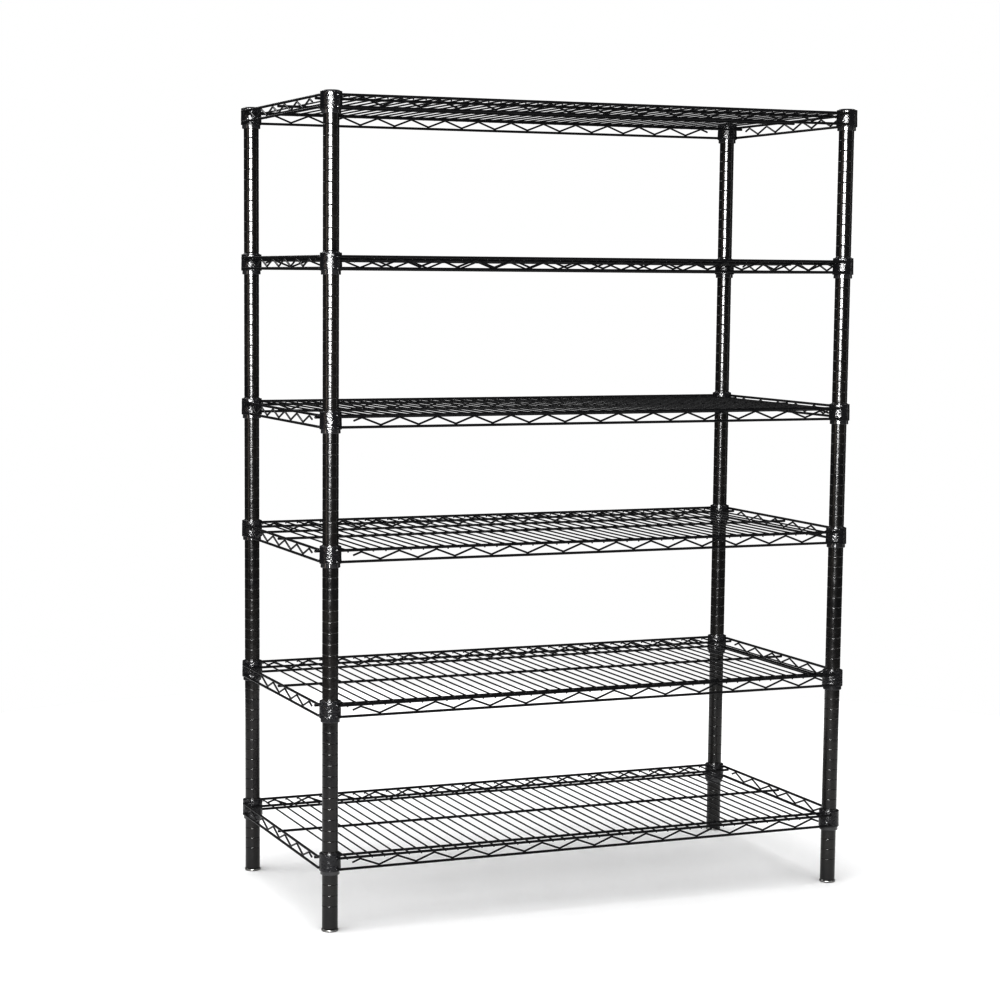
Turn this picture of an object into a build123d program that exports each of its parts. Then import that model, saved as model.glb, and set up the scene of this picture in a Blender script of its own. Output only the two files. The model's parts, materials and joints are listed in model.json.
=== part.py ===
"""Wire shelving rack: four grooved posts, six welded wire shelves on split tapered sleeves, levelling feet.

Frame: millimetres, +Z up, +X along the rack's long side, -Y the front.
The origin is on the floor at the middle of the rack's footprint.
Shelves are numbered from the floor up: shelf_1 is the bottom one, shelf_6 the top one.
"""

import os

from build123d import *

os.makedirs("parts", exist_ok=True)

# ---------------------------------------------------------------- driving dimensions
LENGTH = 1320.0            # post centre to post centre along X
DEPTH = 606.0              # post centre to post centre along Y
PITCH = 25.4               # spacing of the adjusting grooves

POST_R = 18.25             # outer radius of the post tube
POST_WALL = 1.5
POST_BOTTOM = 7.0          # lower end of the tube above the floor
POST_TOP = 1910.0          # upper end of the tube
GROOVE_FIRST = 60.5        # lowest groove above the floor
GROOVE_COUNT = 73
GROOVE_DEEP = 0.6
GROOVE_WIDE = 2.2          # width at the surface
GROOVE_FLOOR = 1.0         # width at the groove's floor

SHELF_FIRST = 134.0        # underside of the lowest split sleeves
SHELF_STEPS = (0, 14, 28, 40, 54, 68)   # groove pitches above the lowest shelf

SLEEVE_HIGH = 50.5
SLEEVE_R_LOW = 22.4        # outer radius at the sleeve's lower edge
SLEEVE_R_TOP = 20.4        # outer radius at its upper edge
SLEEVE_BORE = POST_R + 0.05
BEAD_R = POST_R - 0.5      # inner bead that sits in a groove
BEAD_Z = 28.1              # height of that groove above the sleeve's lower edge
SLEEVE_SLIT = 1.6          # half of the open angle between the two halves, degrees

COLLAR_LIFT = 9.0          # lower edge of the collar above the sleeve's lower edge
COLLAR_HIGH = 40.0
COLLAR_R_LOW = 25.2
COLLAR_R_TOP = 24.6
TAPER_GAP = 0.15           # radial gap between collar and sleeve

RIM_R = 2.9                # rim wires
RIM_OFF = 26.0             # rim wire centre outside the post centre line
RIM_END = 8.0              # rim wire end short of the post centre line
RIM_TOP_Z = 40.5           # top rim centre above the sleeve's lower edge
RIM_LOW_Z = 14.5           # bottom rim centre

SNAKE_R = 2.1              # zigzag wire between the rims
SNAKE_PERIOD = 91.5
SNAKE_BEND = 5.0
SNAKE_TAIL = 20.0          # free end beyond the first upper bend
SNAKE_FRONT = 13           # periods on the long sides
SNAKE_SIDE = 5             # periods on the short sides

MAT_R = 1.75               # deck wires
MAT_COUNT = 42
MAT_PITCH = SNAKE_PERIOD / 3.0
MAT_Z = RIM_TOP_Z - 1.17
MAT_TIP_Z = RIM_TOP_Z - 5.6
MAT_BEND = 3.5

ROD_R = 2.9                # lengthwise rods under the deck wires
ROD_Z = MAT_Z - MAT_R - ROD_R
ROD_IN = 27.75             # outer rods inboard of the post centre lines
ROD_OVER = 29.0            # rod end beyond the post centre line

STEM_R = 4.76              # 3/8 inch levelling stem
STEM_BORE = 4.81
STEM_LOW = 3.0
STEM_TOP = 46.0
INSERT_HIGH = 24.0
FOOT_R = 19.7
FOOT_TOP = 6.7
CAP_THICK = 3.0

HX, HY = LENGTH / 2.0, DEPTH / 2.0
POSTS = {
    "front_left": (-HX, -HY),
    "front_right": (HX, -HY),
    "back_left": (-HX, HY),
    "back_right": (HX, HY),
}
CORNERS = [(x, y, 0.0) for x, y in POSTS.values()]


def save(builder, name):
    """Label a finished piece and write it to its own STEP file."""
    builder.part.label = name
    export_step(builder.part, f"parts/{name}.step")


# ---------------------------------------------------------------- posts
groove_line = [(POST_R, POST_BOTTOM)]
for i in range(GROOVE_COUNT):
    zc = GROOVE_FIRST + i * PITCH
    groove_line += [
        (POST_R, zc - GROOVE_WIDE / 2),
        (POST_R - GROOVE_DEEP, zc - GROOVE_FLOOR / 2),
        (POST_R - GROOVE_DEEP, zc + GROOVE_FLOOR / 2),
        (POST_R, zc + GROOVE_WIDE / 2),
    ]
groove_line += [
    (POST_R, POST_TOP),
    (POST_R - POST_WALL, POST_TOP),
    (POST_R - POST_WALL, POST_BOTTOM),
]

with BuildPart() as post_tube:
    with BuildSketch(Plane.XZ):
        with BuildLine():
            Polyline(*groove_line, close=True)
        make_face()
    revolve(axis=Axis.Z)

# plastic cap: a disc on the tube's end and a hollow plug inside the tube
with BuildPart() as cap_blank:
    with BuildSketch(Plane.XY.offset(POST_TOP)):
        Circle(POST_R)
    extrude(amount=CAP_THICK)
    fillet(cap_blank.edges().group_by(Axis.Z)[-1], 1.4)
    with BuildSketch(Plane.XY.offset(POST_TOP - 14.0)):
        Circle(POST_R - POST_WALL - 0.02)
        Circle(POST_R - POST_WALL - 2.2, mode=Mode.SUBTRACT)
    extrude(amount=14.0)

# threaded insert pressed into the tube's lower end
with BuildPart() as insert_blank:
    with BuildSketch(Plane.XY.offset(POST_BOTTOM + 0.3)):
        Circle(POST_R - POST_WALL - 0.01)
        Circle(STEM_BORE, mode=Mode.SUBTRACT)
    extrude(amount=INSERT_HIGH)
    chamfer(insert_blank.faces().sort_by(Axis.Z)[-1].outer_wire().edges(), 1.2)

# levelling foot: a round pad with a rounded lower edge and a blind socket for the stem
with BuildPart() as foot_blank:
    with BuildSketch(Plane.XZ):
        with BuildLine():
            Polyline(
                (0, 0),
                (FOOT_R - 1.2, 0),
                (FOOT_R, 1.2),
                (FOOT_R, 4.6),
                (FOOT_R - 2.6, FOOT_TOP),
                (STEM_BORE, FOOT_TOP),
                (STEM_BORE, STEM_LOW - 0.05),
                (0, STEM_LOW - 0.05),
                close=True,
            )
        make_face()
    revolve(axis=Axis.Z)

# threaded stem, drawn at its major diameter, with a chamfered end and a screwdriver slot
with BuildPart() as stem_blank:
    with BuildSketch(Plane.XY.offset(STEM_LOW)):
        Circle(STEM_R)
    extrude(amount=STEM_TOP - STEM_LOW)
    chamfer(stem_blank.edges().group_by(Axis.Z)[-1], 1.0)
    with BuildSketch(Plane.XY.offset(STEM_TOP)):
        Rectangle(1.4, 12.0)
    extrude(amount=-2.0, mode=Mode.SUBTRACT)

for place, (px, py) in POSTS.items():
    with BuildPart() as post:
        with Locations((px, py, 0)):
            add(post_tube.part)
    save(post, f"post_{place}")

    with BuildPart() as post_cap:
        with Locations((px, py, 0)):
            add(cap_blank.part)
    save(post_cap, f"post_cap_{place}")

    with BuildPart() as foot_insert:
        with Locations((px, py, 0)):
            add(insert_blank.part)
    save(foot_insert, f"foot_insert_{place}")

    with BuildPart() as foot_pad:
        with Locations((px, py, 0)):
            add(foot_blank.part)
    save(foot_pad, f"foot_pad_{place}")

    with BuildPart() as foot_stem:
        with Locations((px, py, 0)):
            add(stem_blank.part)
    save(foot_stem, f"foot_stem_{place}")

# ---------------------------------------------------------------- split sleeve halves
HALF_SWEEP = 180.0 - 2.0 * SLEEVE_SLIT
with BuildPart() as sleeve_half:
    with BuildSketch(Plane.XZ):
        with BuildLine():
            Polyline(
                (SLEEVE_BORE, 0),
                (SLEEVE_R_LOW - 1.0, 0),
                (SLEEVE_R_LOW, 1.0),
                (SLEEVE_R_TOP, SLEEVE_HIGH - 0.6),
                (SLEEVE_R_TOP - 0.6, SLEEVE_HIGH),
                (SLEEVE_BORE, SLEEVE_HIGH),
                (SLEEVE_BORE, BEAD_Z + 0.9),
                (BEAD_R, BEAD_Z + 0.4),
                (BEAD_R, BEAD_Z - 0.4),
                (SLEEVE_BORE, BEAD_Z - 0.9),
                close=True,
            )
        make_face()
    revolve(axis=Axis.Z, revolution_arc=HALF_SWEEP)

# ---------------------------------------------------------------- collars
def sleeve_r(z):
    """Outer radius of the sleeve's cone at height z above its lower edge."""
    t = (z - 1.0) / (SLEEVE_HIGH - 1.6)
    return SLEEVE_R_LOW + (SLEEVE_R_TOP - SLEEVE_R_LOW) * t


C0, C1 = COLLAR_LIFT, COLLAR_LIFT + COLLAR_HIGH
with BuildPart() as collar:
    with BuildSketch(Plane.XZ):
        with BuildLine():
            Polyline(
                (sleeve_r(C0) + TAPER_GAP, C0),
                (COLLAR_R_LOW - 1.0, C0),
                (COLLAR_R_LOW, C0 + 1.0),
                (COLLAR_R_TOP, C1 - 0.8),
                (COLLAR_R_TOP - 0.8, C1),
                (sleeve_r(C1) + TAPER_GAP, C1),
                close=True,
            )
        make_face()
    revolve(axis=Axis.Z)

with BuildPart() as collar_set:
    with Locations(*CORNERS):
        add(collar.part)

# ---------------------------------------------------------------- rim wires, cut to seat on the collars
RX = HX - RIM_END
RY = HY - RIM_END
with BuildPart() as rim_set:
    for z in (RIM_TOP_Z, RIM_LOW_Z):
        for side in (-1, 1):
            with BuildSketch(Plane.YZ.offset(-RX)):
                with Locations((side * (HY + RIM_OFF), z)):
                    Circle(RIM_R)
            extrude(amount=2 * RX)
            with BuildSketch(Plane.XZ.offset(-RY)):
                with Locations((side * (HX + RIM_OFF), z)):
                    Circle(RIM_R)
            extrude(amount=2 * RY)
    with Locations(*CORNERS):
        add(collar.part, mode=Mode.SUBTRACT)

# ---------------------------------------------------------------- zigzag wires in the plane of the rims
SNAKE_MID = (RIM_TOP_Z + RIM_LOW_Z) / 2.0
RISE = (RIM_TOP_Z - RIM_LOW_Z) / 2.0 - RIM_R - SNAKE_R - 0.02
# the bend rounds each corner off, so the corner of the path stands a little further out
SLOPE = (2 * RISE) / (SNAKE_PERIOD / 2.0)
CORNER = RISE + SNAKE_BEND * ((1 + SLOPE * SLOPE) ** 0.5 - 1)
SLOPE = (2 * CORNER) / (SNAKE_PERIOD / 2.0)


def snake_points(periods):
    """Corners of the zigzag, (along, height), centred on along = 0."""
    half = periods * SNAKE_PERIOD / 2.0
    tail_z = SNAKE_MID + CORNER - SLOPE * SNAKE_TAIL
    pts = [(-half - SNAKE_TAIL, tail_z)]
    for n in range(2 * periods + 1):
        z = SNAKE_MID + (CORNER if n % 2 == 0 else -CORNER)
        pts.append((-half + n * SNAKE_PERIOD / 2.0, z))
    pts.append((half + SNAKE_TAIL, tail_z))
    return pts


front_pts = snake_points(SNAKE_FRONT)
with BuildPart() as snake_front:
    with BuildLine() as front_path:
        FilletPolyline(*[(a, 0, z) for a, z in front_pts], radius=SNAKE_BEND)
    with BuildSketch(Plane(origin=front_path.line @ 0, z_dir=front_path.line % 0)):
        Circle(SNAKE_R)
    sweep()

side_pts = snake_points(SNAKE_SIDE)
with BuildPart() as snake_side:
    with BuildLine() as side_path:
        FilletPolyline(*[(0, a, z) for a, z in side_pts], radius=SNAKE_BEND)
    with BuildSketch(Plane(origin=side_path.line @ 0, z_dir=side_path.line % 0)):
        Circle(SNAKE_R)
    sweep()

with BuildPart() as snake_set:
    with Locations((0, -HY - RIM_OFF, 0), (0, HY + RIM_OFF, 0)):
        add(snake_front.part)
    with Locations((-HX - RIM_OFF, 0, 0), (HX + RIM_OFF, 0, 0)):
        add(snake_side.part)

# ---------------------------------------------------------------- deck wires with their ends bent down inside the rims
LEG_Y = HY + RIM_OFF - RIM_R - MAT_R - 0.02
with BuildPart() as mat_wire:
    with BuildLine() as mat_path:
        FilletPolyline(
            (0, -LEG_Y, MAT_TIP_Z),
            (0, -LEG_Y, MAT_Z),
            (0, LEG_Y, MAT_Z),
            (0, LEG_Y, MAT_TIP_Z),
            radius=MAT_BEND,
        )
    with BuildSketch(Plane(origin=mat_path.line @ 0, z_dir=mat_path.line % 0)):
        Circle(MAT_R)
    sweep()

MAT_X = [(i - (MAT_COUNT - 1) / 2.0) * MAT_PITCH for i in range(MAT_COUNT)]
with BuildPart() as mat_set:
    with Locations(*[(x, 0, 0) for x in MAT_X]):
        add(mat_wire.part)

# ---------------------------------------------------------------- lengthwise rods under the deck wires
ROD_HALF = HX + ROD_OVER
with BuildPart() as rod_set:
    with BuildSketch(Plane.YZ.offset(-ROD_HALF)):
        with Locations((-HY + ROD_IN, ROD_Z), (0, ROD_Z), (HY - ROD_IN, ROD_Z)):
            Circle(ROD_R)
    extrude(amount=2 * ROD_HALF)

# ---------------------------------------------------------------- the six shelves
for number, step in enumerate(SHELF_STEPS, start=1):
    base = SHELF_FIRST + step * PITCH

    with BuildPart() as split_sleeves:
        for cx, cy, _ in CORNERS:
            for turn in (SLEEVE_SLIT, 180.0 + SLEEVE_SLIT):
                with Locations(Location((cx, cy, base), (0, 0, turn))):
                    add(sleeve_half.part)
    save(split_sleeves, f"shelf_{number}_split_sleeves")

    with BuildPart() as collars:
        with Locations((0, 0, base)):
            add(collar_set.part)
    save(collars, f"shelf_{number}_corner_collars")

    with BuildPart() as rims:
        with Locations((0, 0, base)):
            add(rim_set.part)
    save(rims, f"shelf_{number}_rim_wires")

    with BuildPart() as snakes:
        with Locations((0, 0, base)):
            add(snake_set.part)
    save(snakes, f"shelf_{number}_snake_wires")

    with BuildPart() as mats:
        with Locations((0, 0, base)):
            add(mat_set.part)
    save(mats, f"shelf_{number}_mat_wires")

    with BuildPart() as rods:
        with Locations((0, 0, base)):
            add(rod_set.part)
    save(rods, f"shelf_{number}_support_rods")
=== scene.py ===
"""Wire shelving rack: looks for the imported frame. Metres, +Z up, -Y the front."""
import bpy
import json
import math
import numpy as np
from mathutils import Matrix, Vector

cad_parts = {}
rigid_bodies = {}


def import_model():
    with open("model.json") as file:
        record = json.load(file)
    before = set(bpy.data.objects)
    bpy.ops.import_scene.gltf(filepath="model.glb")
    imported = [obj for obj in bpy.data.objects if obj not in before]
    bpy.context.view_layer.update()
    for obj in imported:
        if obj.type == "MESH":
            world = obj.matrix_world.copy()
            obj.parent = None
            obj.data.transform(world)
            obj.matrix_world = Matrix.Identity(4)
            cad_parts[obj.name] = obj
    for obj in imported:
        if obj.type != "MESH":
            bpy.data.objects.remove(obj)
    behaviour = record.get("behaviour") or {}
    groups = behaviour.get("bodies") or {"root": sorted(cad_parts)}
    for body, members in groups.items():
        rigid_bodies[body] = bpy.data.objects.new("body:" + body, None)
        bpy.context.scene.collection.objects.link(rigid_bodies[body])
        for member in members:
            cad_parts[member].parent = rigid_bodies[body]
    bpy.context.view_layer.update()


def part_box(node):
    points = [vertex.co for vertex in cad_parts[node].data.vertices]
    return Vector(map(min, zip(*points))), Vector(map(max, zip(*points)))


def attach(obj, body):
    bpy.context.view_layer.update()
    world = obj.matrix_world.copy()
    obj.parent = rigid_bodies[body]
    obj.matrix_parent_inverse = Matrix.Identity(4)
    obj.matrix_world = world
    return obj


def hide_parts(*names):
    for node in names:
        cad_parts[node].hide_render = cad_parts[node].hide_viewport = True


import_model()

MM = 0.001
RNG = np.random.default_rng(41)

# ------------------------------------------------------------------ sizes, read from the frame
PLACES = ("front_left", "front_right", "back_left", "back_right")


def centre(node):
    lo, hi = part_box(node)
    return (lo + hi) / 2


POST = {p: centre(f"post_{p}") for p in PLACES}
HX = POST["front_right"].x
HY = POST["back_left"].y
p_lo, p_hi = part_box("post_front_left")
POST_R = (p_hi.x - p_lo.x) / 2
POST_BOTTOM, POST_TOP = p_lo.z, p_hi.z
PITCH = 25.4 * MM
GROOVE_FIRST = 60.5 * MM
BASE = {k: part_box(f"shelf_{k}_split_sleeves")[0].z for k in range(1, 7)}
RIM_R = 2.9 * MM
RIM_OFF = 26.0 * MM
RIM_END = 8.0 * MM
RIM_TOP = 40.5 * MM
RIM_LOW = 14.5 * MM
SNAKE_R = 2.1 * MM
PERIOD = 91.5 * MM
MAT_R = 1.75 * MM
MAT_Z = RIM_TOP - 1.17 * MM
MAT_TIP = RIM_TOP - 5.6 * MM
ROD_R = 2.9 * MM
ROD_Z = MAT_Z - MAT_R - ROD_R


# ------------------------------------------------------------------ mesh building
class Build:
    """Collects vertices and faces of many closed surfaces for one piece."""

    def __init__(self):
        self.v, self.f, self.n = [], [], 0

    def rings(self, rings, close_ends=True, loop=False):
        """rings: array (m, n, 3), each ring a closed loop of n points."""
        rings = np.asarray(rings, float)
        m, n, _ = rings.shape
        base = self.n
        self.v.append(rings.reshape(-1, 3))
        i = np.arange(m if loop else m - 1)[:, None]
        j = np.arange(n)[None, :]
        k = (j + 1) % n
        i2 = (i + 1) % m
        quads = np.stack([base + i * n + j, base + i * n + k, base + i2 * n + k, base + i2 * n + j], -1)
        self.f.extend(quads.reshape(-1, 4).tolist())
        self.n += m * n
        if close_ends and not loop:
            self.f.append((base + np.arange(n)[::-1]).tolist())
            self.f.append((base + (m - 1) * n + np.arange(n)).tolist())

    def grid_shell(self, grid):
        """grid: (m, n, 3), a closed cross-section of n points swept through m open stations."""
        self.rings(grid)

    def tube(self, path, r, n=12, round_end=0.45, squash=None):
        """A tube along path (k, 3), with softly rounded ends. round_end is the rounding's share of r."""
        path = np.asarray(path, float)
        held = [path[0]]
        for k in range(len(path) - 1):
            p, q = path[k], path[k + 1]
            run = np.linalg.norm(q - p)
            if run > 3.5 * MM:
                u = (q - p) / run
                held.append(p + u * (0.4 * MM + (r * round_end if k == 0 else 0.0)))
                held.append(q - u * (0.4 * MM + (r * round_end if k == len(path) - 2 else 0.0)))
            held.append(q)
        path = np.array(held)
        d = np.diff(path, axis=0)
        d /= np.linalg.norm(d, axis=1)[:, None]
        t = np.vstack([d[:1], (d[:-1] + d[1:]), d[-1:]])
        t /= np.linalg.norm(t, axis=1)[:, None]
        up = np.array([0.0, 0.0, 1.0])
        if abs(t[0] @ up) > 0.9:
            up = np.array([1.0, 0.0, 0.0])
        a = np.cross(t[0], up)
        a /= np.linalg.norm(a)
        frames = []
        for k in range(len(path)):
            a = a - (a @ t[k]) * t[k]
            a /= np.linalg.norm(a)
            frames.append((a.copy(), np.cross(t[k], a)))
        ang = np.arange(n) * 2 * math.pi / n
        c, s = np.cos(ang)[:, None], np.sin(ang)[:, None]
        rings = []
        e = r * round_end
        steps = (0.0, 0.35, 0.7, 1.0) if e > 0 else (1.0,)
        a0, b0 = frames[0]
        for q in steps[:-1]:
            rr = r - e + e * math.sin(q * math.pi / 2)
            off = -e * 0 + e * (1 - math.cos(q * math.pi / 2))
            rings.append(path[0] + t[0] * off + rr * (c * a0 + s * b0))
        first = len(rings)
        for k in range(len(path)):
            a1, b1 = frames[k]
            miter = 1.0
            if 0 < k < len(path) - 1:
                miter = 1.0 / max(0.6, float(d[k - 1] @ t[k]))
            p = path[k].copy()
            if k == 0:
                p = p + t[0] * e
            if k == len(path) - 1:
                p = p - t[-1] * e
            rings.append(p + r * miter * (c * a1 + s * b1) if miter < 1.001 else p + r * (c * a1 + s * b1))
        a0, b0 = frames[-1]
        for q in steps[:-1][::-1]:
            rr = r - e + e * math.sin(q * math.pi / 2)
            off = e * (1 - math.cos(q * math.pi / 2))
            rings.append(path[-1] - t[-1] * off + rr * (c * a0 + s * b0))
        self.rings(np.array(rings))

    def lathe(self, profile, cx, cy, n=48, closed=False, start=0.0, arc=None):
        """profile: (k, 2) of radius and height. closed: the profile is a loop, giving a ring-shaped solid.
        With arc, the loop profile is swept through that angle only, and its ends are closed."""
        pr = np.asarray(profile, float)
        if arc is None:
            ang = start + np.arange(n) * 2 * math.pi / n
            rings = np.stack([
                cx + pr[:, 0:1] * np.cos(ang)[None, :],
                cy + pr[:, 0:1] * np.sin(ang)[None, :],
                np.repeat(pr[:, 1:2], n, 1)], -1)
            if closed:
                rings = rings[:, ::-1]
                self.rings(rings, loop=True)
            else:
                self.rings(rings)
        else:
            ang = start + np.linspace(0, arc, n)
            grid = np.stack([
                cx + np.cos(ang)[:, None] * pr[None, :, 0],
                cy + np.sin(ang)[:, None] * pr[None, :, 0],
                np.repeat(pr[None, :, 1], n, 0)], -1)
            self.rings(grid)

    def blob(self, c, ax, ay, az, n=8, m=5, seed=None):
        """An ellipsoid weld nugget at c with half sizes ax, ay, az, slightly uneven."""
        th = np.linspace(0.18, math.pi - 0.18, m)
        ang = np.arange(n) * 2 * math.pi / n
        rr = 1.0 + 0.08 * RNG.standard_normal((m, n))
        rings = np.stack([
            c[0] + ax * np.sin(th)[:, None] * np.cos(ang)[None, :] * rr,
            c[1] + ay * np.sin(th)[:, None] * np.sin(ang)[None, :] * rr,
            c[2] - az * np.cos(th)[:, None] * np.ones(n)[None, :]], -1)
        self.rings(rings)

    def mesh(self, name, smooth_deg=40):
        me = bpy.data.meshes.new(name)
        me.from_pydata(np.vstack(self.v).tolist(), [], self.f)
        me.validate()
        me.update()
        me.polygons.foreach_set("use_smooth", [True] * len(me.polygons))
        me.set_sharp_from_angle(angle=math.radians(smooth_deg))
        ob = bpy.data.objects.new(name, me)
        bpy.context.scene.collection.objects.link(ob)
        bpy.ops.object.select_all(action="DESELECT")
        bpy.context.view_layer.objects.active = ob
        ob.select_set(True)
        bpy.ops.object.mode_set(mode="EDIT")
        bpy.ops.mesh.select_all(action="SELECT")
        bpy.ops.mesh.normals_make_consistent(inside=False)
        bpy.ops.object.mode_set(mode="OBJECT")
        ob.select_set(False)
        return ob


def arc_path(corners, radius, steps=5):
    """Polyline corners rounded by tangent arcs."""
    pts = [np.asarray(p, float) for p in corners]
    out = [pts[0]]
    for i in range(1, len(pts) - 1):
        a, b, c = pts[i - 1], pts[i], pts[i + 1]
        u, w = a - b, c - b
        lu, lw = np.linalg.norm(u), np.linalg.norm(w)
        u, w = u / lu, w / lw
        ang = math.acos(max(-1, min(1, float(u @ w))))
        cut = radius / math.tan(ang / 2)
        p, q = b + u * cut, b + w * cut
        bis = (u + w) / np.linalg.norm(u + w)
        o = b + bis * (radius / math.sin(ang / 2))
        for k in range(steps + 1):
            s = k / steps
            sweep = (math.pi - ang)
            # spherical interpolation between the two radii
            r0, r1 = p - o, q - o
            v = (math.sin((1 - s) * sweep) * r0 + math.sin(s * sweep) * r1) / math.sin(sweep)
            out.append(o + v)
    out.append(pts[-1])
    return np.array(out)


# ------------------------------------------------------------------ materials
def principled(name):
    m = bpy.data.materials.new(name)
    m.use_nodes = True
    nt = m.node_tree
    b = nt.nodes["Principled BSDF"]
    return m, nt, b


def coords(nt, scale=(1, 1, 1)):
    tc = nt.nodes.new("ShaderNodeTexCoord")
    mp = nt.nodes.new("ShaderNodeMapping")
    mp.inputs["Scale"].default_value = scale
    nt.links.new(tc.outputs["Object"], mp.inputs["Vector"])
    return mp.outputs["Vector"]


def noise(nt, vec, scale, detail=4.0, rough=0.55, dist=0.0):
    n = nt.nodes.new("ShaderNodeTexNoise")
    n.inputs["Scale"].default_value = scale
    n.inputs["Detail"].default_value = detail
    n.inputs["Roughness"].default_value = rough
    n.inputs["Distortion"].default_value = dist
    nt.links.new(vec, n.inputs["Vector"])
    return n.outputs["Fac"]


def ramp(nt, fac, stops):
    r = nt.nodes.new("ShaderNodeValToRGB")
    e = r.color_ramp.elements
    while len(e) < len(stops):
        e.new(0.5)
    for el, (pos, col) in zip(e, stops):
        el.position = pos
        el.color = (*col, 1.0) if isinstance(col, tuple) else (col, col, col, 1.0)
    nt.links.new(fac, r.inputs["Fac"])
    return r.outputs["Color"]


def mix_col(nt, fac, a, b):
    m = nt.nodes.new("ShaderNodeMix")
    m.data_type = "RGBA"
    for sock, val in ((m.inputs[0], fac), (m.inputs[6], a), (m.inputs[7], b)):
        if hasattr(val, "links"):
            nt.links.new(val, sock)
        elif isinstance(val, tuple):
            sock.default_value = (*val, 1.0)
        else:
            sock.default_value = val
    return m.outputs[2]


def bump(nt, height, strength, distance, normal=None):
    b = nt.nodes.new("ShaderNodeBump")
    b.inputs["Strength"].default_value = strength
    b.inputs["Distance"].default_value = distance
    nt.links.new(height, b.inputs["Height"])
    if normal is not None:
        nt.links.new(normal, b.inputs["Normal"])
    return b.outputs["Normal"]


def powder_coat(name, dark, light, peel_scale, peel, rough_lo, rough_hi, nick=0.79, wave=None, spec=0.5, coat=0.0):
    m, nt, b = principled(name)
    vec = coords(nt)
    tone = ramp(nt, noise(nt, vec, 14.0, 5.0), [(0.3, dark), (0.7, light)])
    nicks = ramp(nt, noise(nt, vec, 330.0, 3.0, 0.6), [(nick, 0.0), (nick + 0.035, 1.0)])
    nt.links.new(mix_col(nt, nicks, tone, (0.16, 0.16, 0.165)), b.inputs["Base Color"])
    nt.links.new(ramp(nt, noise(nt, vec, 95.0, 4.0), [(0.32, rough_lo), (0.7, rough_hi)]), b.inputs["Roughness"])
    n1 = bump(nt, noise(nt, vec, peel_scale, 2.5, 0.5), peel, 0.0006)
    n2 = bump(nt, noise(nt, vec, 2600.0, 2.0, 0.5), 0.10, 0.0001, n1)
    if wave:
        n2 = bump(nt, noise(nt, vec, wave[0], 2.0, 0.5), wave[1], 0.002, n2)
    nt.links.new(n2, b.inputs["Normal"])
    b.inputs["Specular IOR Level"].default_value = spec
    b.inputs["Coat Weight"].default_value = coat
    b.inputs["Coat Roughness"].default_value = 0.12
    return m


M_POST = powder_coat("powder_coat_post", (0.003, 0.003, 0.0034), (0.009, 0.0082, 0.0074), 380.0, 0.14, 0.15, 0.26, nick=0.80, wave=(75.0, 0.14), spec=0.6)
M_WIRE = powder_coat("powder_coat_wire", (0.002, 0.002, 0.0024), (0.005, 0.005, 0.0055), 520.0, 0.12, 0.24, 0.37, nick=0.83, spec=0.26)
M_COLLAR = powder_coat("powder_coat_collar", (0.004, 0.004, 0.005), (0.010, 0.010, 0.011), 300.0, 0.9, 0.13, 0.24, nick=0.78, wave=(150.0, 0.5), spec=0.6)


def plastic(name, dark, light, rough_lo, rough_hi, grain, strength, coat=0.0):
    m, nt, b = principled(name)
    vec = coords(nt)
    nt.links.new(ramp(nt, noise(nt, vec, 40.0), [(0.35, dark), (0.68, light)]), b.inputs["Base Color"])
    nt.links.new(ramp(nt, noise(nt, vec, 160.0, 5.0), [(0.3, rough_lo), (0.72, rough_hi)]), b.inputs["Roughness"])
    nt.links.new(bump(nt, noise(nt, vec, grain, 3.0), strength, 0.0002), b.inputs["Normal"])
    b.inputs["Specular IOR Level"].default_value = 0.55
    b.inputs["Coat Weight"].default_value = coat
    b.inputs["Coat Roughness"].default_value = 0.08
    return m


M_SLEEVE = plastic("moulded_sleeve_plastic", (0.010, 0.010, 0.011), (0.022, 0.022, 0.023), 0.12, 0.22, 900.0, 0.08, coat=0.7)
M_CAP = plastic("moulded_cap_plastic", (0.012, 0.012, 0.013), (0.026, 0.026, 0.027), 0.36, 0.55, 1500.0, 0.18)


def zinc(name, thread=False):
    m, nt, b = principled(name)
    vec = coords(nt)
    tone = ramp(nt, noise(nt, vec, 120.0, 6.0, 0.6), [(0.3, (0.22, 0.22, 0.215)), (0.7, (0.36, 0.36, 0.35))])
    spots = ramp(nt, noise(nt, vec, 600.0, 3.0), [(0.72, 0.0), (0.78, 1.0)])
    nt.links.new(mix_col(nt, spots, tone, (0.13, 0.125, 0.115)), b.inputs["Base Color"])
    b.inputs["Metallic"].default_value = 1.0
    turned = noise(nt, coords(nt, (40.0, 40.0, 2400.0)), 1.0, 3.0)
    nt.links.new(ramp(nt, turned, [(0.3, 0.20), (0.75, 0.42)]), b.inputs["Roughness"])
    nt.links.new(bump(nt, turned, 0.12, 0.0002), b.inputs["Normal"])
    return m


M_ZINC = zinc("bright_zinc_plate")


def put(ob, material, body, slot, *nodes):
    ob.data.materials.clear()
    ob.data.materials.append(material)
    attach(ob, body)
    if nodes:
        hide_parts(*nodes)
    return ob


# ------------------------------------------------------------------ posts
def post_profile():
    r, wall = POST_R, 1.5 * MM
    pts = [(r - 0.35 * MM, POST_BOTTOM), (r - 0.1 * MM, POST_BOTTOM + 0.1 * MM), (r, POST_BOTTOM + 0.35 * MM), (r, POST_BOTTOM + 0.9 * MM)]
    z = GROOVE_FIRST
    while z < POST_TOP - 3 * MM:
        for dz, dr in ((-1.75, 0.0), (-1.2, 0.0), (-0.85, 0.15), (-0.5, 0.5), (0.0, 0.6), (0.5, 0.5), (0.85, 0.15), (1.2, 0.0), (1.75, 0.0)):
            pts.append((r - dr * MM, z + dz * MM))
        z += PITCH
    pts += [(r, POST_TOP - 0.8 * MM), (r, POST_TOP - 0.3 * MM), (r - 0.3 * MM, POST_TOP), (r - wall, POST_TOP), (r - wall, POST_BOTTOM)]
    return pts


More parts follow.
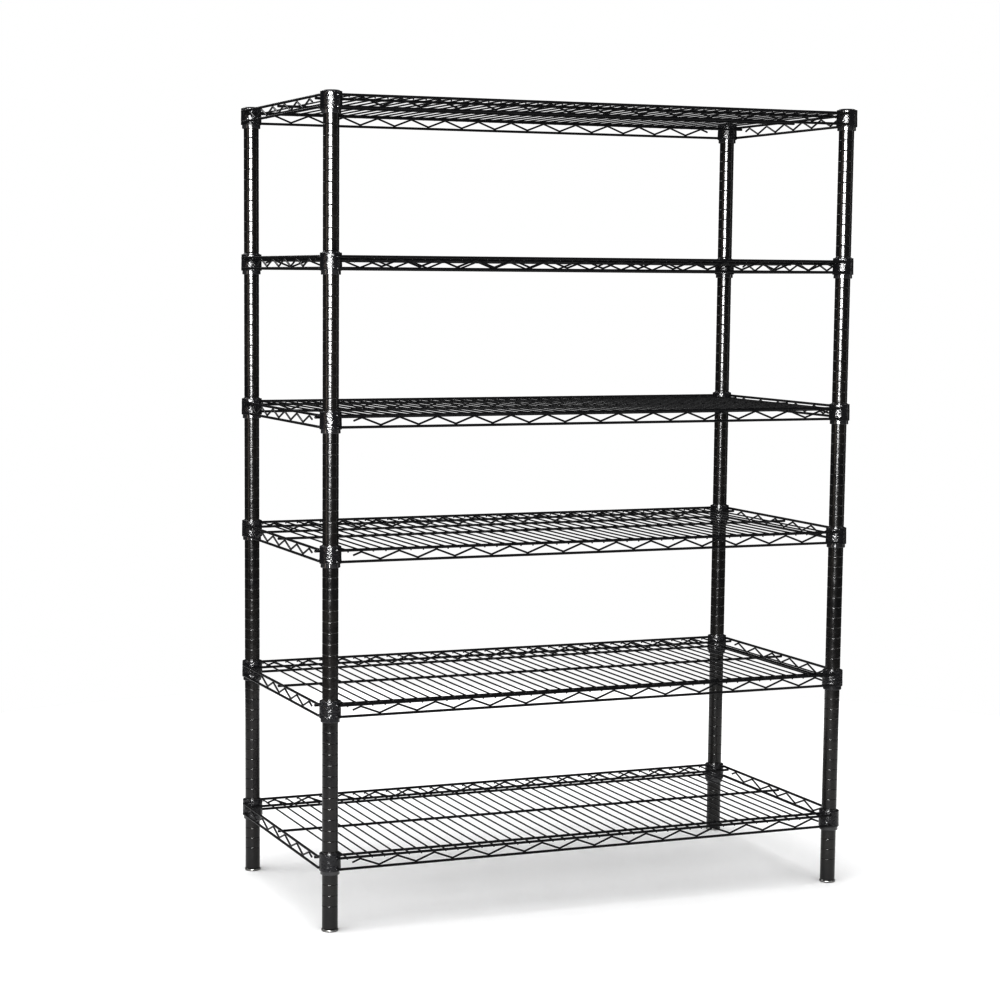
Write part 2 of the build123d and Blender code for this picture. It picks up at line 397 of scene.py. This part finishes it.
PROFILE = post_profile()
for p in PLACES:
    b = Build()
    b.lathe(PROFILE, POST[p].x, POST[p].y, n=48, closed=True)
    put(b.mesh(f"grooved_post_{p}"), M_POST, "root", "black_powder_coat_post", f"post_{p}")

    # cap: shallow domed disc with a soft edge, over a hollow plug
    r = POST_R
    b = Build()
    b.lathe([(r - 1.5 * MM - 2.2 * MM, POST_TOP - 14 * MM), (r - 1.7 * MM, POST_TOP - 14 * MM), (r - 1.55 * MM, POST_TOP - 13.4 * MM),
             (r - 1.55 * MM, POST_TOP), (r - 0.1 * MM, POST_TOP + 0.02 * MM), (r, POST_TOP + 0.25 * MM), (r, POST_TOP + 1.5 * MM),
             (r - 0.12 * MM, POST_TOP + 1.95 * MM), (r - 0.42 * MM, POST_TOP + 2.42 * MM), (r - 0.9 * MM, POST_TOP + 2.72 * MM),
             (r - 1.6 * MM, POST_TOP + 2.86 * MM), (r - 5 * MM, POST_TOP + 2.93 * MM), (r - 12 * MM, POST_TOP + 2.98 * MM),
             (0.4 * MM, POST_TOP + 3.0 * MM), (0.4 * MM, POST_TOP - 0.4 * MM), (r - 3.7 * MM, POST_TOP - 0.4 * MM)],
            POST[p].x, POST[p].y, n=48, closed=True)
    b.blob((POST[p].x, POST[p].y, POST_TOP + 1.3 * MM), 1.0 * MM, 1.0 * MM, 1.7 * MM, n=12, m=7)
    put(b.mesh(f"post_end_cap_{p}"), M_CAP, "root", "black_plastic_cap", f"post_cap_{p}")

# ------------------------------------------------------------------ feet: pad, threaded stem, insert
T_LEAD = 1.5875 * MM
for p in PLACES:
    cx, cy = POST[p].x, POST[p].y
    r = 19.7 * MM
    b = Build()
    b.lathe([(0.6 * MM, 0.0), (r - 2.0 * MM, 0.0), (r - 0.9 * MM, 0.35 * MM), (r - 0.25 * MM, 1.0 * MM), (r, 1.8 * MM), (r, 3.9 * MM),
             (r - 0.2 * MM, 4.5 * MM), (r - 0.8 * MM, 5.1 * MM), (r - 2.2 * MM, 6.3 * MM), (r - 2.8 * MM, 6.6 * MM), (r - 3.4 * MM, 6.7 * MM),
             (7.6 * MM, 6.7 * MM), (7.2 * MM, 6.2 * MM), (4.85 * MM, 6.0 * MM), (4.85 * MM, 2.95 * MM), (0.6 * MM, 2.95 * MM)],
            cx, cy, n=64, closed=True)
    put(b.mesh(f"levelling_foot_{p}"), M_ZINC, f"foot_{p}", "zinc_foot", f"foot_pad_{p}")

    # screw stem with a real helical thread
    b = Build()
    n, z0, z1 = 28, 3.05 * MM, 46.0 * MM
    turns = (z1 - z0 - 2.4 * MM) / T_LEAD
    steps = int(turns * 8)
    zs = np.linspace(z0 + 1.0 * MM, z1 - 1.4 * MM, steps)
    ang = np.arange(n) * 2 * math.pi / n
    rings = []
    major, minor = 4.74 * MM, 4.05 * MM
    rings.append(np.stack([cx + 3.6 * MM * np.cos(ang), cy + 3.6 * MM * np.sin(ang), np.full(n, z0)], -1))
    rings.append(np.stack([cx + 4.0 * MM * np.cos(ang), cy + 4.0 * MM * np.sin(ang), np.full(n, z0 + 0.4 * MM)], -1))
    for z in zs:
        phase = ((z - z0) / T_LEAD - ang / (2 * math.pi)) % 1.0
        tri = 1 - abs(2 * phase - 1)
        prof = np.clip((tri - 0.12) / 0.76, 0, 1)
        fade = min(1.0, (z1 - z) / (2.2 * MM))
        rr = minor + (major - minor) * prof * fade
        rings.append(np.stack([cx + rr * np.cos(ang), cy + rr * np.sin(ang), np.full(n, z)], -1))
    rings.append(np.stack([cx + 3.9 * MM * np.cos(ang), cy + 3.9 * MM * np.sin(ang), np.full(n, z1 - 0.5 * MM)], -1))
    rings.append(np.stack([cx + 3.3 * MM * np.cos(ang), cy + 3.3 * MM * np.sin(ang), np.full(n, z1)], -1))
    b.rings(np.array(rings))
    put(b.mesh(f"threaded_stem_{p}", 50), M_ZINC, f"stem_{p}", "zinc_foot", f"foot_stem_{p}")

    # insert: bush with ribs round it, pressed inside the tube
    b = Build()
    ro = POST_R - 1.5 * MM - 0.02 * MM
    zb = POST_BOTTOM + 0.3 * MM
    n = 72
    ang = np.arange(n) * 2 * math.pi / n
    rib = np.where((np.arange(n) % 6) < 3, 0.0, 0.35 * MM)
    prof = [(4.83 * MM, zb, 0), (ro - 0.5 * MM, zb, 0), (ro, zb + 0.5 * MM, 0), (ro, zb + 2.5 * MM, 0), (ro, zb + 2.7 * MM, 1),
            (ro, zb + 22.5 * MM, 1), (ro - 1.2 * MM, zb + 24 * MM, 0), (4.83 * MM, zb + 24 * MM, 0)]
    rings = [np.stack([cx + (q[0] - rib * q[2]) * np.cos(ang), cy + (q[0] - rib * q[2]) * np.sin(ang), np.full(n, q[1])], -1)[::-1] for q in prof]
    b.rings(np.array(rings), loop=True)
    put(b.mesh(f"stem_insert_{p}"), M_CAP, "root", "black_plastic_cap", f"foot_insert_{p}")

# ------------------------------------------------------------------ shelves
CORNERS = [(-HX, -HY), (HX, -HY), (-HX, HY), (HX, HY)]
MID = (RIM_TOP + RIM_LOW) / 2
RISE = (RIM_TOP - RIM_LOW) / 2 - RIM_R - SNAKE_R + 0.35 * MM


def snake(periods):
    half = periods * PERIOD / 2
    bend = 5.0 * MM
    slope = 2 * RISE / (PERIOD / 2)
    corner = RISE + bend * (math.sqrt(1 + slope * slope) - 1)
    slope = 2 * corner / (PERIOD / 2)
    tail = MID + corner - slope * 20 * MM
    pts = [(-half - 20 * MM, tail)]
    for i in range(2 * periods + 1):
        pts.append((-half + i * PERIOD / 2, MID + (corner if i % 2 == 0 else -corner)))
    pts.append((half + 20 * MM, tail))
    return pts


SNAKE_LONG, SNAKE_SHORT = snake(13), snake(5)
MAT_X = [(i - 20.5) * PERIOD / 3 for i in range(42)]
LEG_Y = HY + RIM_OFF - RIM_R - MAT_R + 0.25 * MM
ROD_Y = (-HY + 27.75 * MM, 0.0, HY - 27.75 * MM)


def sleeve_r(z):
    t = (z - 1.0 * MM) / (48.9 * MM)
    return 22.4 * MM - 2.0 * MM * t


for k in range(1, 7):
    z0 = BASE[k]
    body = f"shelf_{k}"

    # split sleeves, two half shells on each post
    b = Build()
    lip = [(18.32, 0.35), (18.6, 0.0), (20.9, 0.0), (21.5, 0.04), (22.0, 0.25), (22.3, 0.7), (22.38, 1.2), (22.36, 1.7), (22.1, 8.2), (20.55, 48.6), (20.5, 49.3),
           (20.42, 49.8), (20.1, 50.3), (19.6, 50.5), (19.2, 50.5), (18.6, 50.5), (18.32, 50.2), (18.32, 29.0), (17.8, 28.5), (17.8, 27.7), (18.32, 27.2)]
    lip = [(a * MM, z0 + c * MM) for a, c in lip]
    for cx, cy in CORNERS:
        for turn in (0.0, math.pi):
            b.lathe(lip, cx, cy, n=33, closed=True, start=turn + math.radians(1.6), arc=math.pi - math.radians(3.2))
    put(b.mesh(f"split_sleeves_shelf_{k}"), M_SLEEVE, "root", "black_plastic_sleeve", f"shelf_{k}_split_sleeves")

    # collars with the weld nuggets of the wires that end on them
    b = Build()
    zc = z0 + 9 * MM
    prof = [(sleeve_r(9 * MM) + 0.15 * MM + 0.3 * MM, zc, 0), (23.2 * MM, zc, 0), (24.2 * MM, zc + 0.02 * MM, 0), (24.75 * MM, zc + 0.18 * MM, 0),
            (25.1 * MM, zc + 0.6 * MM, 0), (25.19 * MM, zc + 1.2 * MM, 0.3)]
    for i in range(19):
        t = i / 18
        prof.append(((25.19 - 0.59 * t) * MM, zc + (1.7 + 36.6 * t) * MM, 1))
    prof += [(24.58 * MM, zc + 38.8 * MM, 0.3), (24.45 * MM, zc + 39.4 * MM, 0), (24.15 * MM, zc + 39.8 * MM, 0), (23.6 * MM, zc + 39.97 * MM, 0), (23.0 * MM, zc + 40 * MM, 0),
             (sleeve_r(49 * MM) + 0.5 * MM, zc + 40 * MM, 0), (sleeve_r(49 * MM) + 0.15 * MM, zc + 39.6 * MM, 0), (sleeve_r(9 * MM) + 0.15 * MM, zc + 0.3 * MM, 0)]
    prof = np.array(prof)
    n = 72
    th = np.arange(n) * 2 * math.pi / n
    for cx, cy in CORNERS:
        rough = np.zeros((n, len(prof)))
        for _ in range(16):
            turns = RNG.integers(4, 17)
            climb = RNG.uniform(150, 620) * RNG.choice((-1, 1))
            rough += RNG.uniform(0.3, 1.0) * np.sin(turns * th[:, None] + climb * prof[None, :, 1] + RNG.uniform(0, 6.28))
        rough = (rough / rough.std() * 0.09 * MM - 0.09 * MM) * prof[None, :, 2]
        rad = prof[None, :, 0] + np.minimum(rough, 0.08 * MM)
        grid = np.stack([cx + rad * np.cos(th)[:, None], cy + rad * np.sin(th)[:, None], np.repeat(prof[None, :, 1], n, 0)], -1)
        b.rings(grid[:, ::-1], loop=True)
        sx, sy = -np.sign(cx), -np.sign(cy)
        for z in (z0 + RIM_TOP, z0 + RIM_LOW):
            b.blob((cx + sx * 9.0 * MM, cy - sy * 24.2 * MM, z), 4.2 * MM, 1.9 * MM, 3.3 * MM, n=14, m=9)
            b.blob((cx - sx * 24.2 * MM, cy + sy * 9.0 * MM, z), 1.9 * MM, 4.2 * MM, 3.3 * MM, n=14, m=9)
        b.blob((cx + sx * 1.0 * MM, cy + sy * 25.0 * MM, z0 + ROD_Z), 4.0 * MM, 1.4 * MM, 2.4 * MM, n=12, m=7)
    put(b.mesh(f"welded_collars_shelf_{k}", 50), M_COLLAR, body, "black_powder_coat_collar", f"shelf_{k}_corner_collars")

    # rim wires, with sheared and slightly rounded ends on the collars
    b = Build()
    rx, ry = HX - RIM_END, HY - RIM_END
    for z in (z0 + RIM_TOP, z0 + RIM_LOW):
        for s in (-1, 1):
            b.tube([(-rx, s * (HY + RIM_OFF), z), (-rx * 0.33, s * (HY + RIM_OFF), z), (rx * 0.33, s * (HY + RIM_OFF), z), (rx, s * (HY + RIM_OFF), z)], RIM_R, 20)
            b.tube([(s * (HX + RIM_OFF), -ry, z), (s * (HX + RIM_OFF), 0, z), (s * (HX + RIM_OFF), ry, z)], RIM_R, 20)
    put(b.mesh(f"rim_wires_welded_shelf_{k}"), M_WIRE, body, "black_powder_coat_wire", f"shelf_{k}_rim_wires")

    # zigzag wires and their welds to both rims
    b = Build()
    for s in (-1, 1):
        y = s * (HY + RIM_OFF)
        b.tube(arc_path([(a, y, z0 + h) for a, h in SNAKE_LONG], 5 * MM), SNAKE_R, 14)
        x = s * (HX + RIM_OFF)
        b.tube(arc_path([(x, a, z0 + h) for a, h in SNAKE_SHORT], 5 * MM), SNAKE_R, 14)
        for pts, along in ((SNAKE_LONG, 0), (SNAKE_SHORT, 1)):
            for a, h in pts[1:-1]:
                top = h > MID
                zz = z0 + (RIM_TOP - RIM_R - 0.1 * MM if top else RIM_LOW + RIM_R + 0.1 * MM)
                if along == 0:
                    b.blob((a, y, zz), 3.4 * MM, 1.8 * MM, 1.15 * MM, n=10, m=6)
                else:
                    b.blob((x, a, zz), 1.8 * MM, 3.4 * MM, 1.15 * MM, n=10, m=6)
    put(b.mesh(f"zigzag_wires_shelf_{k}"), M_WIRE, body, "black_powder_coat_wire", f"shelf_{k}_snake_wires")

    # deck wires, ends bent down and welded inside the front and back rims
    b = Build()
    for x in MAT_X:
        path = arc_path([(x, -LEG_Y, z0 + MAT_TIP), (x, -LEG_Y, z0 + MAT_Z), (x, LEG_Y, z0 + MAT_Z), (x, LEG_Y, z0 + MAT_TIP)], 3.5 * MM)
        b.tube(path, MAT_R, 12)
        for s in (-1, 1):
            b.blob((x, s * (LEG_Y + 1.3 * MM), z0 + RIM_TOP - 0.6 * MM), 1.9 * MM, 0.9 * MM, 1.9 * MM, n=8, m=5)
        for y in ROD_Y:
            b.blob((x, y, z0 + MAT_Z - MAT_R), 1.8 * MM, 2.1 * MM, 0.8 * MM, n=8, m=5)
    put(b.mesh(f"deck_wires_shelf_{k}"), M_WIRE, body, "black_powder_coat_wire", f"shelf_{k}_mat_wires")

    # lengthwise rods
    b = Build()
    xr = HX + 29.0 * MM
    for y in ROD_Y:
        b.tube([(-xr, y, z0 + ROD_Z), (0, y, z0 + ROD_Z), (xr, y, z0 + ROD_Z)], ROD_R, 20)
        for s in (-1, 1):
            b.blob((s * (HX + RIM_OFF), y, z0 + RIM_TOP - RIM_R), 2.0 * MM, 2.4 * MM, 0.9 * MM, n=10, m=6)
    put(b.mesh(f"deck_rods_shelf_{k}"), M_WIRE, body, "black_powder_coat_wire", f"shelf_{k}_support_rods")

# ------------------------------------------------------------------ stage, light and camera
def stage_floor():
    n = 96
    ang = np.arange(n) * 2 * math.pi / n
    verts, faces = [(0.0, 0.0, -0.0002)], []
    radii = (0.7, 1.4, 2.1, 2.8)
    for r in radii:
        verts += [(r * math.cos(a), r * math.sin(a), -0.0002) for a in ang]
    faces += [(0, 1 + j, 1 + (j + 1) % n) for j in range(n)]
    for i in range(len(radii) - 1):
        for j in range(n):
            faces.append((1 + i * n + j, 1 + (i + 1) * n + j, 1 + (i + 1) * n + (j + 1) % n, 1 + i * n + (j + 1) % n))
    me = bpy.data.meshes.new("studio_floor")
    me.from_pydata(verts, [], faces)
    me.update()
    fl = bpy.data.objects.new("studio_floor", me)
    bpy.context.scene.collection.objects.link(fl)
    m, nt, b = principled("pale_floor")
    vec = coords(nt)
    nt.links.new(ramp(nt, noise(nt, vec, 3.0, 6.0), [(0.3, 0.87), (0.7, 0.89)]), b.inputs["Base Color"])
    b.inputs["Roughness"].default_value = 0.85
    b.inputs["Specular IOR Level"].default_value = 0.1
    me.materials.append(m)


stage_floor()

world = bpy.data.worlds.new("studio")
bpy.context.scene.world = world
world.use_nodes = True
wn = world.node_tree
bg = wn.nodes["Background"]
lp = wn.nodes.new("ShaderNodeLightPath")
mx = wn.nodes.new("ShaderNodeMix")
mx.data_type = "RGBA"
mx.inputs[6].default_value = (0.09, 0.09, 0.092, 1)
mx.inputs[7].default_value = (1.0, 1.0, 1.0, 1)
wn.links.new(lp.outputs["Is Camera Ray"], mx.inputs[0])
wn.links.new(mx.outputs[2], bg.inputs["Color"])
bg.inputs["Strength"].default_value = 1.0


def area(name, loc, target, sx, sy, power, col=(1, 1, 1)):
    li = bpy.data.lights.new(name, "AREA")
    li.shape = "RECTANGLE"
    li.size, li.size_y = sx, sy
    li.energy = power
    li.color = col
    ob = bpy.data.objects.new(name, li)
    bpy.context.scene.collection.objects.link(ob)
    ob.location = loc
    ob.rotation_mode = "QUATERNION"
    ob.rotation_quaternion = (Vector(target) - Vector(loc)).to_track_quat("-Z", "Y")
    ob.visible_camera = False
    return ob


sun = bpy.data.lights.new("ceiling_glow", "SUN")
sun.energy, sun.angle = 4.5, math.radians(80)
sun_ob = bpy.data.objects.new("ceiling_glow", sun)
bpy.context.scene.collection.objects.link(sun_ob)
sun_ob.rotation_euler = (math.radians(8), math.radians(-10), 0)
sun_ob.visible_glossy = False

area("key_softbox", (-3.08, -4.68, 2.05), (-0.4, 0.0, 1.9), 3.3, 1.5, 980)
area("key_lower", (-3.08, -4.68, 0.95), (-0.4, 0.0, 1.1), 0.6, 0.7, 60)
area("high_right", (3.7, -2.3, 4.0), (0.5, 0.0, 1.2), 1.1, 1.1, 40)
area("side_strip", (4.6, -1.4, 1.5), (0, 0, 1.2), 0.5, 2.2, 11)
area("warm_left_strip", (-4.6, -0.9, 1.5), (0, 0, 1.2), 0.9, 2.2, 17, (1.0, 0.84, 0.72))
area("high_back", (-1.6, 3.1, 4.3), (0.0, 0.0, 1.0), 2.0, 2.0, 110)

# the soft boxes light the rack only, and the even ceiling light alone makes the pale floor
floor_out = bpy.data.collections.new("floor_out_of_soft_boxes")
floor_out.objects.link(bpy.data.objects["studio_floor"])
floor_out.collection_objects[0].light_linking.link_state = "EXCLUDE"
for ob in bpy.data.objects:
    if ob.type == "LIGHT" and ob.data.type == "AREA":
        ob.light_linking.receiver_collection = floor_out

cam_data = bpy.data.cameras.new("camera")
cam = bpy.data.objects.new("camera", cam_data)
bpy.context.scene.collection.objects.link(cam)
bpy.context.scene.camera = cam
cam_data.sensor_fit = "HORIZONTAL"
cam_data.sensor_width = 36.0
cam_data.lens = 2372.9 / 1000 * 36.0
cam_data.shift_x, cam_data.shift_y = 0.06, 0.05
cam_data.clip_start, cam_data.clip_end = 0.1, 200.0
yaw, pit, roll = math.radians(21.57), math.radians(6.533), math.radians(0.40)
fwd = Vector((math.sin(yaw) * math.cos(pit), math.cos(yaw) * math.cos(pit), -math.sin(pit)))
right = Vector((math.cos(yaw), -math.sin(yaw), 0))
up = right.cross(fwd)
right, up = right * math.cos(roll) + up * math.sin(roll), up * math.cos(roll) - right * math.sin(roll)
rot = Matrix((right, up, -fwd)).transposed().to_4x4()
cam.matrix_world = Matrix.Translation((-2.3954, -5.3688, 1.4992)) @ rot

vs = bpy.context.scene.view_settings
vs.view_transform = "Standard"
vs.look = "None"
vs.gamma = 0.72
